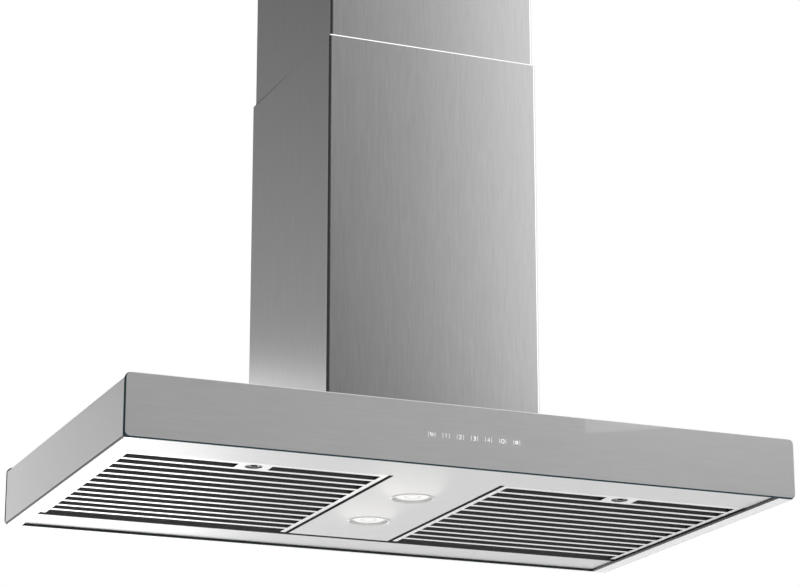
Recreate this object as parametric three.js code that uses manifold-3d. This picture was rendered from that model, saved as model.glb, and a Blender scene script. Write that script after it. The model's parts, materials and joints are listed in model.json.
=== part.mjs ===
// Island range hood: a telescoping square chimney that hangs from the ceiling, and below it a
// shallow canopy with glass front and back, two baffle filters, two lamps and a blower.
// Millimetres. X runs along the canopy's long side, Y from the front (touch controls, at -Y) to
// the back, and Z points up. The origin is the centre of the ceiling plate's top face.

import * as THREE from "three";
import { mergeVertices } from "three/addons/utils/BufferGeometryUtils.js";
import Module from "manifold-3d";

const wasm = await Module();
wasm.setup();

// ---- Driving dimensions ---------------------------------------------------------------------

const GAP = 0.3; // between pieces that touch on the real hood
const HANG = 950; // ceiling to the canopy's lower edge, as installed

// Canopy. Heights in the canopy are counted from the glass panels' lower edge.
const CANOPY_WIDTH = 900;
const CANOPY_DEPTH = 550;
const GLASS_HEIGHT = 78.5;
const GLASS_THICKNESS = 6;
const GLASS_CORNER_RADIUS = 7;
const SHEET = 1.2;
const SIDE_HEIGHT = 73.3;
const SIDE_TOP_RETURN = 20;
const RIM_WIDTH = 23.5; // bottom return of a side panel
const RIM_LIP_HEIGHT = 9;
const RECESS = 3.5; // the underside plates sit this far above the rim
const INTAKE_SIZE = 200; // square opening in the canopy's top
const CHANNEL_FLANGE = 12;
const TOUCH_WINDOW = [85, 22, 56]; // half width, lower and upper edge

// Underside
const FRONT_STRIP_BACK = -186.9; // where the front strip ends, along Y
const BACK_STRIP_FRONT = 204.2;
const LIGHT_PANEL_HALF = 73;
const LIGHT_PANEL_BACK = 193;
const PANEL_FLANGE_TOP = 13;
const LAMP_YS = [-72.3, 80.1];
const LAMP_HOLE_RADIUS = 28;
const LAMP_BEZEL_RADIUS = 29.25;
const LAMP_TUBE_RADIUS = 27.6;
const LAMP_LENS_RADIUS = 22.3;

// Baffle filters
const FILTER_CENTRE_X = 251.3;
const FILTER_HALF = 172;
const FILTER_FRONT = -186.5;
const FILTER_BACK = 190;
const FILTER_THICKNESS = 12;
const FILTER_SHEET = 0.8;
const FILTER_WALL = 1;
const SLOT_COUNT = 13;
const SLOT_PITCH = 28.76;
const SLOT_FIRST = -175.6;
const SLOT_WIDTH = 20.8;
const SLOT_HALF_LENGTH = 165;
const HOOK_LIP_TOP = 9.2; // top of the back strip's lip, which the filter's rear rail hangs on
const LATCH_Y = -166.5;
const LATCH_HOLE_RADIUS = 11;
const LATCH_PLATE_HALF = 22.1;
const LATCH_SLIDE_HALF = 9;

// Chimney
const LOWER_FLUE_WIDTH = 298;
const LOWER_FLUE_TOP = 598;
const UPPER_FLUE_WIDTH = 292.4;
const UPPER_FLUE_LENGTH = 500;
const FLUE_SHEET = 1;
const FLUE_BEND = 4;
const RAIL_SHEET = 2;
const UPPER_RAIL_FACE = 144.9; // outer face, from the chimney's axis
const LOWER_RAIL_FACE = 142.6;
const UPPER_RAIL_LEG = 22;
const LOWER_RAIL_LEG = 20;
const UPPER_RAIL_LENGTH = 500;
const LOWER_RAIL_TOP = 584;
const RAIL_FOOT = 24;
const RAIL_BEND = 2;
const CEILING_PLATE_HALF = 142;
const CEILING_PLATE_THICKNESS = 3;
const CEILING_HOLE_RADIUS = 85;
const FIXING_OFFSET = 100;
const FIXING_RADIUS = 4;

// Blower
const BLOWER_BOX_HALF = 118;
const BLOWER_BOX_TOP = 330;
const BLOWER_BOX_FLANGE = 12;
const BLOWER_AXIS = { y: -33, z: 205 };
const SCROLL_HALF_WIDTH = 48;
const SCROLL_SMALL_RADIUS = 68;
const SCROLL_LARGE_RADIUS = 88;
const SCROLL_TONGUE_ANGLE = 60; // degrees, from +Y towards +Z
const OUTLET_BACK = -22;
const INLET_RADIUS = 50;
const IMPELLER_RADIUS = 60;
const IMPELLER_HALF_WIDTH = 42;
const BLADE_COUNT = 20;
const BLADE_DEPTH = 10;
const BLADE_LEAN = 25;
const SHAFT_RADIUS = 4;
const MOTOR_RADIUS = 40;
const COLLAR_RADIUS = 75;
const COLLAR_WALL = 1.2;
const COLLAR_HEIGHT = 70;
const DAMPER_HEIGHT = 36; // damper pin above the collar's base
const FLAP_RADIUS = 71.5;
const FLAP_THICKNESS = 1.2;
const PIN_RADIUS = 2;

// ---- Worked out from them -------------------------------------------------------------------

const halfWidth = CANOPY_WIDTH / 2;
const halfDepth = CANOPY_DEPTH / 2;
const glassInside = halfDepth - GLASS_THICKNESS;
const innerDepth = glassInside - GAP;
const rimInside = halfWidth - RIM_WIDTH;
const topPlateTop = SIDE_HEIGHT - SHEET - GAP;
const topPlateBottom = topPlateTop - SHEET;
const plateTop = RECESS + SHEET;
const filterSheetTop = RECESS + FILTER_SHEET;
const filterTop = RECESS + FILTER_THICKNESS;
const flueBase = topPlateTop + GAP;
const collarBase = BLOWER_BOX_TOP + GAP;
const radians = THREE.MathUtils.degToRad;

// ---- Materials ------------------------------------------------------------------------------

function material(color, roughness, metalness) {
  return new THREE.MeshStandardMaterial({ color, roughness, metalness });
}

const brushedSteel = material(0xb4b5b5, 0.32, 1);
const galvanised = material(0x9fa4a6, 0.45, 1);
const greyGlass = material(0x9d9e9e, 0.12, 0.1);
const blackPlastic = material(0x1c1d1f, 0.5, 0);
const greyPlastic = material(0x6d7073, 0.55, 0);
const circuitGreen = material(0x1f5b3a, 0.5, 0);
const lampLens = material(0xfdf6e6, 0.25, 0);
const satinAluminium = material(0xc9cacb, 0.3, 1);
const motorSteel = material(0x54585b, 0.4, 1);

// ---- Solids ---------------------------------------------------------------------------------

// A closed three.js geometry as a manifold-3d solid that faces outwards.
function solid(geometry) {
  const bare = geometry.clone();
  bare.deleteAttribute("normal");
  bare.deleteAttribute("uv");
  const merged = mergeVertices(bare, 1e-4);
  const vertProperties = new Float32Array(merged.attributes.position.array);
  const corners = merged.index.array;
  const kept = [];
  for (let i = 0; i < corners.length; i += 3) {
    const [a, b, c] = corners.slice(i, i + 3);
    if (a !== b && b !== c && c !== a) kept.push(a, b, c);
  }
  const made = manifold(vertProperties, kept);
  if (made.volume() > 0) return made;
  return manifold(vertProperties, kept.reverse());
}

function manifold(vertProperties, corners) {
  const triVerts = new Uint32Array(corners);
  return new wasm.Manifold(new wasm.Mesh({ numProp: 3, vertProperties, triVerts }));
}

function join(first, ...others) {
  return others.reduce((whole, other) => whole.add(other), first);
}

function cut(first, ...others) {
  return others.reduce((whole, other) => whole.subtract(other), first);
}

function box([x0, x1], [y0, y1], [z0, z1]) {
  const geometry = new THREE.BoxGeometry(x1 - x0, y1 - y0, z1 - z0);
  geometry.translate((x0 + x1) / 2, (y0 + y1) / 2, (z0 + z1) / 2);
  return solid(geometry);
}

function outline(points) {
  return new THREE.Shape(points.map(([a, b]) => new THREE.Vector2(a, b)));
}

function extrude(shape, from, to, segments = 6) {
  const geometry = new THREE.ExtrudeGeometry(shape, {
    depth: to - from,
    bevelEnabled: false,
    curveSegments: segments,
  });
  geometry.translate(0, 0, from);
  return geometry;
}

// An outline in X and Y, extruded along Z.
function alongZ(shape, z0, z1, segments) {
  return solid(extrude(shape, z0, z1, segments));
}

// An outline in Y and Z, extruded along X.
function alongX(shape, x0, x1, segments) {
  const geometry = extrude(shape, x0, x1, segments);
  geometry.applyMatrix4(new THREE.Matrix4().set(0, 0, 1, 0, 1, 0, 0, 0, 0, 1, 0, 0, 0, 0, 0, 1));
  return solid(geometry);
}

// An outline in X and Z, extruded along Y.
function alongY(shape, y0, y1, segments) {
  const geometry = extrude(shape, y0, y1, segments);
  geometry.applyMatrix4(new THREE.Matrix4().set(1, 0, 0, 0, 0, 0, 1, 0, 0, 1, 0, 0, 0, 0, 0, 1));
  return solid(geometry);
}

const AXIS_TURN = {
  x: new THREE.Matrix4().makeRotationZ(-Math.PI / 2),
  y: new THREE.Matrix4(),
  z: new THREE.Matrix4().makeRotationX(Math.PI / 2),
};

// A turned piece: [radius, height] points that close on themselves or lie on the axis.
function turned(profile, axis, [x, y, z], segments = 32) {
  const points = profile.map(([r, h]) => new THREE.Vector2(r, h));
  const geometry = new THREE.LatheGeometry(points, segments);
  geometry.applyMatrix4(AXIS_TURN[axis]);
  geometry.translate(x, y, z);
  return solid(geometry);
}

function rod(radius, from, to, axis, centre, segments = 24) {
  const profile = [
    [0, from],
    [radius, from],
    [radius, to],
    [0, to],
  ];
  return turned(profile, axis, centre, segments);
}

function ring(inner, outer, from, to, axis, centre, segments = 32) {
  const profile = [
    [inner, from],
    [outer, from],
    [outer, to],
    [inner, to],
    [inner, from],
  ];
  return turned(profile, axis, centre, segments);
}

function roundedRectangle(x0, x1, y0, y1, radius) {
  const shape = new THREE.Shape();
  shape.moveTo(x0 + radius, y0);
  shape.lineTo(x1 - radius, y0);
  shape.absarc(x1 - radius, y0 + radius, radius, -Math.PI / 2, 0);
  shape.lineTo(x1, y1 - radius);
  shape.absarc(x1 - radius, y1 - radius, radius, 0, Math.PI / 2);
  shape.lineTo(x0 + radius, y1);
  shape.absarc(x0 + radius, y1 - radius, radius, Math.PI / 2, Math.PI);
  shape.lineTo(x0, y0 + radius);
  shape.absarc(x0 + radius, y0 + radius, radius, Math.PI, 1.5 * Math.PI);
  return shape;
}

function addPiece(group, name, body, look) {
  const made = body.getMesh();
  const geometry = new THREE.BufferGeometry();
  const position = new THREE.BufferAttribute(made.vertProperties, made.numProp);
  geometry.setAttribute("position", position);
  geometry.setIndex(new THREE.BufferAttribute(made.triVerts, 1));
  geometry.computeVertexNormals();
  const mesh = new THREE.Mesh(geometry, look);
  mesh.name = name;
  group.add(mesh);
}

// ---- Ceiling frame and upper chimney --------------------------------------------------------

function ceilingPlate() {
  const half = CEILING_PLATE_HALF;
  const span = [-CEILING_PLATE_THICKNESS - 1, 1];
  const plate = box([-half, half], [-half, half], [-CEILING_PLATE_THICKNESS, 0]);
  const ductHole = rod(CEILING_HOLE_RADIUS, ...span, "z", [0, 0, 0], 32);
  const fixings = [-1, 1].flatMap((sx) =>
    [-1, 1].map((sy) => {
      const centre = [sx * FIXING_OFFSET, sy * FIXING_OFFSET, 0];
      return rod(FIXING_RADIUS, ...span, "z", centre, 12);
    }),
  );
  return cut(plate, ductHole, ...fixings);
}

// An angle section in one corner of the chimney, with a foot turned in at footZ.
function cornerRail(sx, sy, face, leg, z0, z1, footZ) {
  const outer = outline([
    [sx * face, sy * (face - RAIL_BEND)],
    [sx * (face - RAIL_BEND), sy * face],
    [sx * (face - leg), sy * face],
    [sx * (face - leg), sy * (face - RAIL_SHEET)],
    [sx * (face - RAIL_SHEET), sy * (face - RAIL_SHEET)],
    [sx * (face - RAIL_SHEET), sy * (face - leg)],
    [sx * face, sy * (face - leg)],
  ]);
  const footStart = face - 0.75 * RAIL_SHEET;
  const inwards = (s) => [s * footStart, s * (face - RAIL_FOOT)].sort((a, b) => a - b);
  const foot = box(inwards(sx), inwards(sy), [footZ, footZ + RAIL_SHEET]);
  return join(alongZ(outer, z0, z1), foot);
}

function addRails(group, level, face, leg, z0, z1, footZ) {
  for (const [side, sx] of [["left", -1], ["right", 1]]) {
    for (const [end, sy] of [["front", -1], ["back", 1]]) {
      const body = cornerRail(sx, sy, face, leg, z0, z1, footZ);
      addPiece(group, `${level}_rail_${end}_${side}`, body, galvanised);
    }
  }
}

// The front and both sides of a chimney cover, folded from one sheet. It stays open at the back.
function flueCover(width, z0, z1) {
  const half = width / 2;
  const back = half - FLUE_SHEET - GAP;
  const around = roundedRectangle(-half, half, -half, half + FLUE_BEND, FLUE_BEND);
  const inset = half - FLUE_SHEET;
  const bend = FLUE_BEND - FLUE_SHEET;
  const inside = roundedRectangle(-inset, inset, -inset, half + FLUE_BEND, bend);
  const tail = box([-width, width], [back, width], [z0 - 1, z1 + 1]);
  return cut(alongZ(around, z0, z1, 3), alongZ(inside, z0 - 1, z1 + 1, 3), tail);
}

function flueBack(width, z0, z1) {
  const half = width / 2;
  return box([-half, half], [half - FLUE_SHEET, half], [z0, z1]);
}

function buildCeilingMount() {
  const group = new THREE.Group();
  const underPlate = -CEILING_PLATE_THICKNESS - GAP;
  const flueEnd = -UPPER_FLUE_LENGTH;
  addPiece(group, "ceiling_plate", ceilingPlate(), galvanised);
  const railEnd = underPlate - UPPER_RAIL_LENGTH;
  const footZ = underPlate - RAIL_SHEET;
  addRails(group, "upper", UPPER_RAIL_FACE, UPPER_RAIL_LEG, railEnd, underPlate, footZ);
  addPiece(group, "upper_flue_cover", flueCover(UPPER_FLUE_WIDTH, flueEnd, -GAP), brushedSteel);
  addPiece(group, "upper_flue_back", flueBack(UPPER_FLUE_WIDTH, flueEnd, -GAP), brushedSteel);
  return group;
}

// ---- Canopy ---------------------------------------------------------------------------------

function glassPanel(side) {
  const shape = roundedRectangle(-halfWidth, halfWidth, 0, GLASS_HEIGHT, GLASS_CORNER_RADIUS);
  const faces = [side * glassInside, side * halfDepth].sort((a, b) => a - b);
  return alongY(shape, ...faces, 4);
}

// A side panel folded in at the top, and at the bottom into the rim and its turned-up lip.
function sidePanel(side) {
  const profile = [
    [halfWidth, 0],
    [halfWidth, SIDE_HEIGHT],
    [halfWidth - SIDE_TOP_RETURN, SIDE_HEIGHT],
    [halfWidth - SIDE_TOP_RETURN, SIDE_HEIGHT - SHEET],
    [halfWidth - SHEET, SIDE_HEIGHT - SHEET],
    [halfWidth - SHEET, SHEET],
    [rimInside + SHEET, SHEET],
    [rimInside + SHEET, RIM_LIP_HEIGHT],
    [rimInside, RIM_LIP_HEIGHT],
    [rimInside, 0],
  ];
  const shape = outline(profile.map(([x, z]) => [side * x, z]));
  return alongY(shape, -innerDepth, innerDepth);
}

function canopyTop() {
  const x = halfWidth - SHEET - GAP;
  const y = innerDepth - GAP;
  const intake = INTAKE_SIZE / 2;
  const plate = box([-x, x], [-y, y], [topPlateBottom, topPlateTop]);
  const through = [topPlateBottom - 1, topPlateTop + 1];
  return cut(plate, box([-intake, intake], [-intake, intake], through));
}

// The steel channel behind a glass panel. Only the front one has a window for the touch board.
function innerWall(side, hasWindow) {
  const face = innerDepth - GAP;
  const bottom = RIM_LIP_HEIGHT + GAP;
  const top = topPlateBottom - GAP;
  const profile = [
    [face, bottom],
    [face, top],
    [face - CHANNEL_FLANGE, top],
    [face - CHANNEL_FLANGE, top - SHEET],
    [face - SHEET, top - SHEET],
    [face - SHEET, bottom + SHEET],
    [face - CHANNEL_FLANGE, bottom + SHEET],
    [face - CHANNEL_FLANGE, bottom],
  ];
  const half = halfWidth - SHEET - GAP;
  const shape = outline(profile.map(([y, z]) => [side * y, z]));
  const channel = alongX(shape, -half, half);
  if (!hasWindow) return channel;
  const [windowHalf, z0, z1] = TOUCH_WINDOW;
  const faces = [side * (face + 1), side * (face - SHEET - 1)].sort((a, b) => a - b);
  return cut(channel, box([-windowHalf, windowHalf], faces, [z0, z1]));
}

// The front strip and the lamp panel behind it are one plate, turned up along the filter bays.
function lightPanel() {
  const x = rimInside - GAP;
  const front = -(innerDepth - GAP);
  const side = LIGHT_PANEL_HALF;
  const turnedUp = [RECESS, PANEL_FLANGE_TOP];
  const stripEdge = [FRONT_STRIP_BACK - SHEET, FRONT_STRIP_BACK];
  const plate = join(
    box([-x, x], [front, FRONT_STRIP_BACK], [RECESS, plateTop]),
    box([-side, side], [FRONT_STRIP_BACK - SHEET, LIGHT_PANEL_BACK], [RECESS, plateTop]),
    box([-x, -side + SHEET], stripEdge, turnedUp),
    box([side - SHEET, x], stripEdge, turnedUp),
    box([-side, SHEET - side], [FRONT_STRIP_BACK - SHEET, LIGHT_PANEL_BACK], turnedUp),
    box([side - SHEET, side], [FRONT_STRIP_BACK - SHEET, LIGHT_PANEL_BACK], turnedUp),
    box([-side, side], [LIGHT_PANEL_BACK - SHEET, LIGHT_PANEL_BACK], turnedUp),
  );
  const through = [RECESS - 1, plateTop + 1];
  const holes = LAMP_YS.map((y) => rod(LAMP_HOLE_RADIUS, ...through, "z", [0, y, 0], 32));
  return cut(plate, ...holes);
}

// The back strip's front edge is turned up into the lip that the filters hang on.
function backStrip() {
  const x = rimInside - GAP;
  const lip = [BACK_STRIP_FRONT, BACK_STRIP_FRONT + SHEET];
  return join(
    box([-x, x], [BACK_STRIP_FRONT, innerDepth - GAP], [RECESS, plateTop]),
    box([-x, x], lip, [RECESS, HOOK_LIP_TOP]),
  );
}

function buildCanopy(group) {
  addPiece(group, "front_glass", glassPanel(-1), greyGlass);
  addPiece(group, "back_glass", glassPanel(1), greyGlass);
  addPiece(group, "left_side_panel", sidePanel(-1), brushedSteel);
  addPiece(group, "right_side_panel", sidePanel(1), brushedSteel);
  addPiece(group, "canopy_top", canopyTop(), brushedSteel);
  addPiece(group, "front_inner_wall", innerWall(-1, true), galvanised);
  addPiece(group, "back_inner_wall", innerWall(1, false), galvanised);
  addPiece(group, "light_panel", lightPanel(), brushedSteel);
  addPiece(group, "back_strip", backStrip(), brushedSteel);
}

// ---- Lamps ----------------------------------------------------------------------------------

function buildLamps(group) {
  const lip = 2.6;
  const seat = 6;
  const tubeTop = 9;
  const canTop = 24;
  const names = ["front_lamp", "back_lamp"];
  LAMP_YS.forEach((y, i) => {
    const centre = [0, y, 0];
    const wall = LAMP_TUBE_RADIUS - 1;
    const bezel = [
      [wall, lip],
      [LAMP_BEZEL_RADIUS, lip],
      [LAMP_BEZEL_RADIUS, RECESS - GAP],
      [LAMP_TUBE_RADIUS, RECESS - GAP],
      [LAMP_TUBE_RADIUS, tubeTop],
      [wall, tubeTop],
      [wall, seat + 1],
      [LAMP_LENS_RADIUS + GAP, seat + 1],
      [LAMP_LENS_RADIUS + GAP, seat],
      [wall, seat],
      [wall, lip],
    ];
    const lens = rod(LAMP_LENS_RADIUS, seat - 0.2, seat + 1.2, "z", centre);
    const can = rod(wall - GAP, tubeTop + GAP, canTop, "z", centre);
    addPiece(group, `${names[i]}_bezel`, turned(bezel, "z", centre), satinAluminium);
    addPiece(group, `${names[i]}_lens`, lens, lampLens);
    addPiece(group, `${names[i]}_can`, can, satinAluminium);
  });
}

// ---- Electrics ------------------------------------------------------------------------------

// A tray with walls of the given thickness, open on the side that its cavity runs out of.
function tray(x, y, z, wall, openSide) {
  const inner = [x, y, z].map(([a, b]) => [a + wall, b - wall]);
  const axis = "xyz".indexOf(openSide.at(-1));
  if (openSide[0] === "-") inner[axis][0] -= 2 * wall;
  else inner[axis][1] += 2 * wall;
  return cut(box(x, y, z), box(...inner));
}

function buildTouchControl(group) {
  const board = box([-78, 78], [-glassInside + 0.5, -glassInside + 2.1], [25, 53]);
  const cover = tray([-82, 82], [-glassInside + 2.4, -glassInside + 17], [23, 55], 1.5, "-y");
  addPiece(group, "touch_board", board, circuitGreen);
  addPiece(group, "touch_board_cover", cover, blackPlastic);
}

function buildPowerControl(group) {
  const x = [120, 300];
  const y = [-252, -196];
  const base = plateTop + GAP;
  const top = 50;
  const board = box([126, 294], [-246, -202], [base + 4, base + 5.6]);
  addPiece(group, "control_box", tray(x, y, [base, top], 1.5, "+z"), greyPlastic);
  addPiece(group, "control_box_lid", box(x, y, [top + GAP, top + GAP + 1.5]), greyPlastic);
  addPiece(group, "power_board", board, circuitGreen);
  addPiece(group, "led_driver", box([-260, -140], [-245, -205], [base, 30]), blackPlastic);
}

function buildJunctionBox(group) {
  const x = [BLOWER_BOX_HALF + GAP, 140];
  const y = [-45, 45];
  const z = [110, 190];
  const centre = [(x[0] + x[1]) / 2, 0, 0];
  const lid = box([x[1] + GAP, x[1] + GAP + 1], y, z);
  const gland = ring(5, 9, z[1] + GAP, z[1] + 22, "z", centre, 6);
  addPiece(group, "junction_box", tray(x, y, z, 1.2, "+x"), galvanised);
  addPiece(group, "junction_box_lid", lid, galvanised);
  addPiece(group, "cable_gland", gland, blackPlastic);
}

// ---- Lower chimney --------------------------------------------------------------------------

function buildLowerChimney(group) {
  const cover = flueCover(LOWER_FLUE_WIDTH, flueBase, LOWER_FLUE_TOP);
  const back = flueBack(LOWER_FLUE_WIDTH, flueBase, LOWER_FLUE_TOP);
  addRails(group, "lower", LOWER_RAIL_FACE, LOWER_RAIL_LEG, flueBase, LOWER_RAIL_TOP, flueBase);
  addPiece(group, "lower_flue_cover", cover, brushedSteel);
  addPiece(group, "lower_flue_back", back, brushedSteel);
}

// ---- Blower ---------------------------------------------------------------------------------

// The scroll's outline in Y and Z, grown by an offset. Its radius grows evenly from the tongue
// round to the outlet, which then runs straight up.
function volute(offset, top) {
  const steps = 28;
  const points = [];
  const start = SCROLL_TONGUE_ANGLE + 2 * offset;
  for (let i = 0; i <= steps; i++) {
    const angle = start + ((360 - start) * i) / steps;
    const turn = (angle - SCROLL_TONGUE_ANGLE) / (360 - SCROLL_TONGUE_ANGLE);
    const growth = (SCROLL_LARGE_RADIUS - SCROLL_SMALL_RADIUS) * turn;
    const r = SCROLL_SMALL_RADIUS + growth + offset;
    const a = radians(angle);
    points.push([BLOWER_AXIS.y + r * Math.cos(a), BLOWER_AXIS.z + r * Math.sin(a)]);
  }
  points.push([BLOWER_AXIS.y + SCROLL_LARGE_RADIUS + offset, top]);
  points.push([OUTLET_BACK - offset, top]);
  return outline(points);
}

const blowerCentre = [0, BLOWER_AXIS.y, BLOWER_AXIS.z];
const scrollTop = BLOWER_BOX_TOP - 1 - GAP;
const outletFront = BLOWER_AXIS.y + SCROLL_LARGE_RADIUS;

function blowerBox() {
  const half = BLOWER_BOX_HALF;
  const inside = half - 1;
  const mouth = half - BLOWER_BOX_FLANGE;
  const outlet = [-SCROLL_HALF_WIDTH, SCROLL_HALF_WIDTH];
  return cut(
    box([-half, half], [-half, half], [flueBase, BLOWER_BOX_TOP]),
    box([-inside, inside], [-inside, inside], [flueBase + 1, BLOWER_BOX_TOP - 1]),
    box([-mouth, mouth], [-mouth, mouth], [flueBase - 1, flueBase + 2]),
    box(outlet, [OUTLET_BACK, outletFront], [BLOWER_BOX_TOP - 2, BLOWER_BOX_TOP + 1]),
  );
}

function scrollSide(side) {
  const inner = side * (SCROLL_HALF_WIDTH + GAP);
  const faces = [inner, inner + side * SHEET].sort((a, b) => a - b);
  const inlet = rod(INLET_RADIUS, faces[0] - 1, faces[1] + 1, "x", blowerCentre, 32);
  return cut(alongX(volute(1, scrollTop), ...faces), inlet);
}

function scrollWrap() {
  const half = SCROLL_HALF_WIDTH;
  const shell = alongX(volute(1, scrollTop), -half, half);
  return cut(shell, alongX(volute(0, scrollTop + 1), -half - 1, half + 1));
}

function motorBracket() {
  const face = -(SCROLL_HALF_WIDTH + GAP + SHEET + GAP);
  const arms = [90, 210, 330].map((angle) => {
    const arm = new THREE.BoxGeometry(1.5, 24, 14);
    arm.translate(0, MOTOR_RADIUS + 15, 0);
    arm.rotateX(radians(angle));
    arm.translate(face - 0.75, BLOWER_AXIS.y, BLOWER_AXIS.z);
    return solid(arm);
  });
  const hoop = ring(MOTOR_RADIUS + 0.5, MOTOR_RADIUS + 5, face - 1.5, face, "x", blowerCentre);
  return join(hoop, ...arms);
}

function motor() {
  const profile = [
    [0, -74],
    [14, -74],
    [14, -70],
    [34, -70],
    [MOTOR_RADIUS, -64],
    [MOTOR_RADIUS, -20],
    [34, -14],
    [0, -14],
  ];
  return turned(profile, "x", blowerCentre);
}

// A double-inlet fan wheel: forward-leaning blades between two end rings and a middle disc.
function impeller() {
  const half = IMPELLER_HALF_WIDTH;
  const inner = IMPELLER_RADIUS - BLADE_DEPTH;
  const blades = [];
  for (let i = 0; i < BLADE_COUNT; i++) {
    const blade = new THREE.BoxGeometry(2 * half - 1, BLADE_DEPTH - 0.6, 1);
    blade.rotateX(radians(BLADE_LEAN));
    blade.translate(0, inner + BLADE_DEPTH / 2, 0);
    blade.rotateX((2 * Math.PI * i) / BLADE_COUNT);
    blade.translate(...blowerCentre);
    blades.push(solid(blade));
  }
  const wheel = join(
    ring(inner - 0.5, IMPELLER_RADIUS, -half, 2 - half, "x", blowerCentre),
    ring(inner - 0.5, IMPELLER_RADIUS, half - 2, half, "x", blowerCentre),
    rod(IMPELLER_RADIUS - 2, -1, 1, "x", blowerCentre, 32),
    rod(10, -6, 6, "x", blowerCentre),
    ...blades,
  );
  return cut(wheel, rod(SHAFT_RADIUS + GAP, -8, 8, "x", blowerCentre));
}

function buildBlower(group) {
  const nut = ring(SHAFT_RADIUS + 1, 8, 6 + GAP, 12, "x", blowerCentre, 6);
  const capacitor = rod(17, 110, 172, "z", [86, 90, 0]);
  const shaft = rod(SHAFT_RADIUS, GAP - 14, 14, "x", blowerCentre);
  addPiece(group, "blower_box", blowerBox(), galvanised);
  addPiece(group, "scroll_wrap", scrollWrap(), galvanised);
  addPiece(group, "scroll_left_side", scrollSide(-1), galvanised);
  addPiece(group, "scroll_right_side", scrollSide(1), galvanised);
  addPiece(group, "motor", motor(), motorSteel);
  addPiece(group, "motor_bracket", motorBracket(), galvanised);
  addPiece(group, "run_capacitor", capacitor, greyPlastic);
  addPiece(group, "impeller", impeller(), greyPlastic);
  addPiece(group, "motor_shaft", shaft, motorSteel);
  addPiece(group, "impeller_nut", nut, motorSteel);
}

// ---- Duct collar and backdraft damper -------------------------------------------------------

function ductCollar() {
  const centre = [0, 0, collarBase];
  const inner = COLLAR_RADIUS - COLLAR_WALL;
  const lipTop = DAMPER_HEIGHT - FLAP_THICKNESS / 2 - GAP;
  const profile = [
    [inner, 0],
    [COLLAR_RADIUS + 9, 0],
    [COLLAR_RADIUS + 9, COLLAR_WALL],
    [COLLAR_RADIUS, COLLAR_WALL],
    [COLLAR_RADIUS, COLLAR_HEIGHT],
    [inner, COLLAR_HEIGHT],
    [inner, lipTop],
    [inner - 4, lipTop],
    [inner - 4, lipTop - 1],
    [inner, lipTop - 1],
    [inner, 0],
  ];
  const pinCentre = [0, 0, collarBase + DAMPER_HEIGHT];
  const span = COLLAR_RADIUS + 2;
  const tube = turned(profile, "z", centre);
  return cut(tube, rod(PIN_RADIUS + GAP, -span, span, "y", pinCentre, 12));
}

// Half a round flap with two knuckles on the pin.
function damperFlap(side, knuckleY) {
  const z = collarBase + DAMPER_HEIGHT;
  const half = FLAP_THICKNESS / 2;
  const disc = rod(FLAP_RADIUS, -half, half, "z", [0, 0, z], 32);
  const sleeve = PIN_RADIUS + GAP + 1;
  const otherHalf = [-side * 100, side * (sleeve + GAP)].sort((a, b) => a - b);
  const plate = cut(disc, box(otherHalf, [-100, 100], [z - 5, z + 5]));
  const tabX = [side * (PIN_RADIUS + 0.5), side * (sleeve + 2)].sort((a, b) => a - b);
  const knuckles = [-knuckleY, knuckleY].flatMap((y) => [
    rod(sleeve, y - 8, y + 8, "y", [0, 0, z], 16),
    box(tabX, [y - 8, y + 8], [z - half, z + half]),
  ]);
  const bore = rod(PIN_RADIUS + GAP, -90, 90, "y", [0, 0, z], 16);
  return cut(join(plate, ...knuckles), bore);
}

function buildOutlet(group) {
  const pinCentre = [0, 0, collarBase + DAMPER_HEIGHT];
  const pin = rod(PIN_RADIUS, -COLLAR_RADIUS - 1, COLLAR_RADIUS + 1, "y", pinCentre, 12);
  addPiece(group, "duct_collar", ductCollar(), galvanised);
  addPiece(group, "damper_pin", pin, motorSteel);
  addPiece(group, "damper_flap_left", damperFlap(-1, 48), satinAluminium);
  addPiece(group, "damper_flap_right", damperFlap(1, 24), satinAluminium);
}

// ---- Baffle filters -------------------------------------------------------------------------

const slotFront = (i) => SLOT_FIRST + i * SLOT_PITCH;

// The first slot is in two lengths, with the latch between them.
function slotSpans(i) {
  if (i > 0) return [[-SLOT_HALF_LENGTH, SLOT_HALF_LENGTH]];
  return [
    [-SLOT_HALF_LENGTH, -LATCH_PLATE_HALF],
    [LATCH_PLATE_HALF, SLOT_HALF_LENGTH],
  ];
}

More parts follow.
